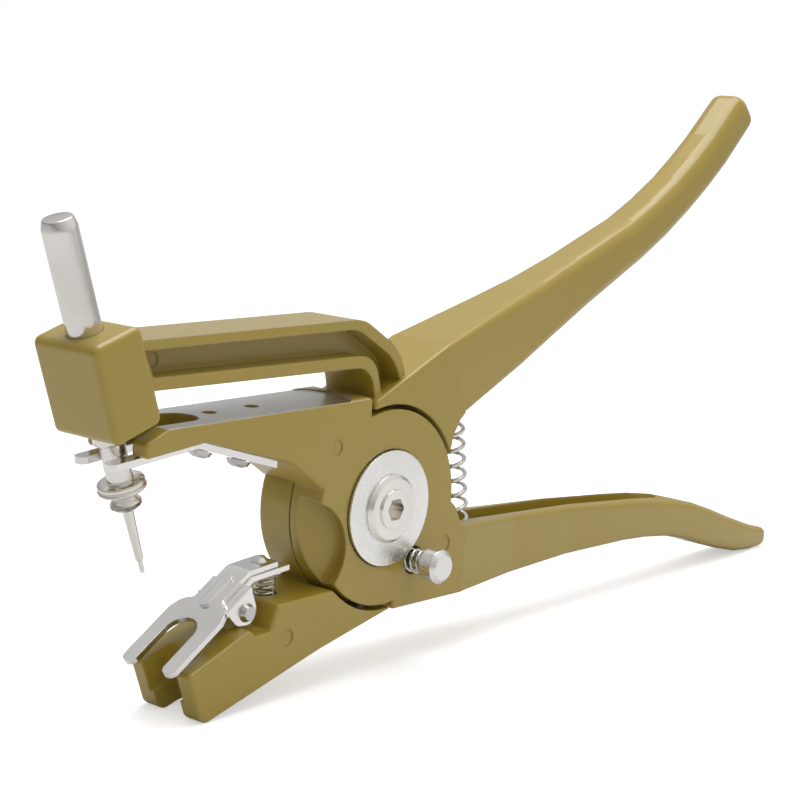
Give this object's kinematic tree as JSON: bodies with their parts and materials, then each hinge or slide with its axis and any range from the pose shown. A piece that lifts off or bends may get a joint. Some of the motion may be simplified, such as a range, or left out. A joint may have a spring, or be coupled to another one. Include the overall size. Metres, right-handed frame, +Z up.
{
  "type": "ear tag applicator",
  "caption": "Plier-type livestock ear tag applicator with lapped cast halves, spring-return pivot, guided plunger and needle, hinged tag clip and push-in handle lock.",
  "frame": {"origin": "middle of the bounding box's base, on the surface the tool stands on", "axes": "+X from the jaws to the handles, +Y to the far side of the pivot, +Z up"},
  "size_m": [0.3408, 0.0466, 0.1665],
  "materials": {
    "paint": "satin olive-green powder coat",
    "plated_steel": "zinc plated",
    "screw_steel": "zinc plated",
    "turned_steel": "turned",
    "polished_steel": "polished",
    "spring_steel": "drawn wire",
    "bronze": "turned"
  },
  "bodies": {
    "frame": {"frame_casting": "paint", "pivot_bush": "bronze", "pivot_washer": "turned_steel", "friction_washer": "bronze", "pivot_nut_washer": "turned_steel", "pivot_nut": "screw_steel", "pivot_bolt": "turned_steel", "clip_pivot_screw": "screw_steel", "clip_pivot_nut": "screw_steel", "main_spring": "spring_steel", "clip_spring": "spring_steel"},
    "lever": {"lever_casting": "paint", "fork_plate": "plated_steel", "fork_screws": "screw_steel", "lock_spring": "spring_steel"},
    "plunger": {"plunger_rod": "polished_steel", "needle": "polished_steel"},
    "lock": {"lock_button": "turned_steel", "lock_pin": "turned_steel"},
    "clip": {"clip_fork": "plated_steel", "clip_bracket": "plated_steel", "clip_rivet": "plated_steel"}
  },
  "joints": [
    {"name": "lever_pivot", "type": "hinge", "parent": "frame", "child": "lever", "pos_m": [-0.05372, 0, 0.04844], "axis": [0, -1, 0], "range_deg": [0, 17], "stiffness_Nm_per_rad": 6, "springref_deg": -14.32, "deforming": ["main_spring"]},
    {"name": "plunger_slide", "type": "slide", "parent": "frame", "child": "plunger", "axis": [0.309, 0, -0.9511], "range_m": [0, 0.02495]},
    {"name": "lock_slide", "type": "slide", "parent": "lever", "child": "lock", "axis": [0, 1, 0], "range_m": [0, 0.0035], "stiffness_N_per_m": 400, "springref_m": -0.003, "deforming": ["lock_spring"]},
    {"name": "clip_pivot", "type": "hinge", "parent": "frame", "child": "clip", "pos_m": [-0.10522, 0, 0.02614], "axis": [0, 1, 0], "range_deg": [0, 12], "stiffness_Nm_per_rad": 0.3, "springref_deg": -17.19, "deforming": ["clip_spring"]}
  ],
  "couplings": [
    {"joint": "plunger_slide", "follows": "lever_pivot", "m_per_rad": 0.08406}
  ]
}
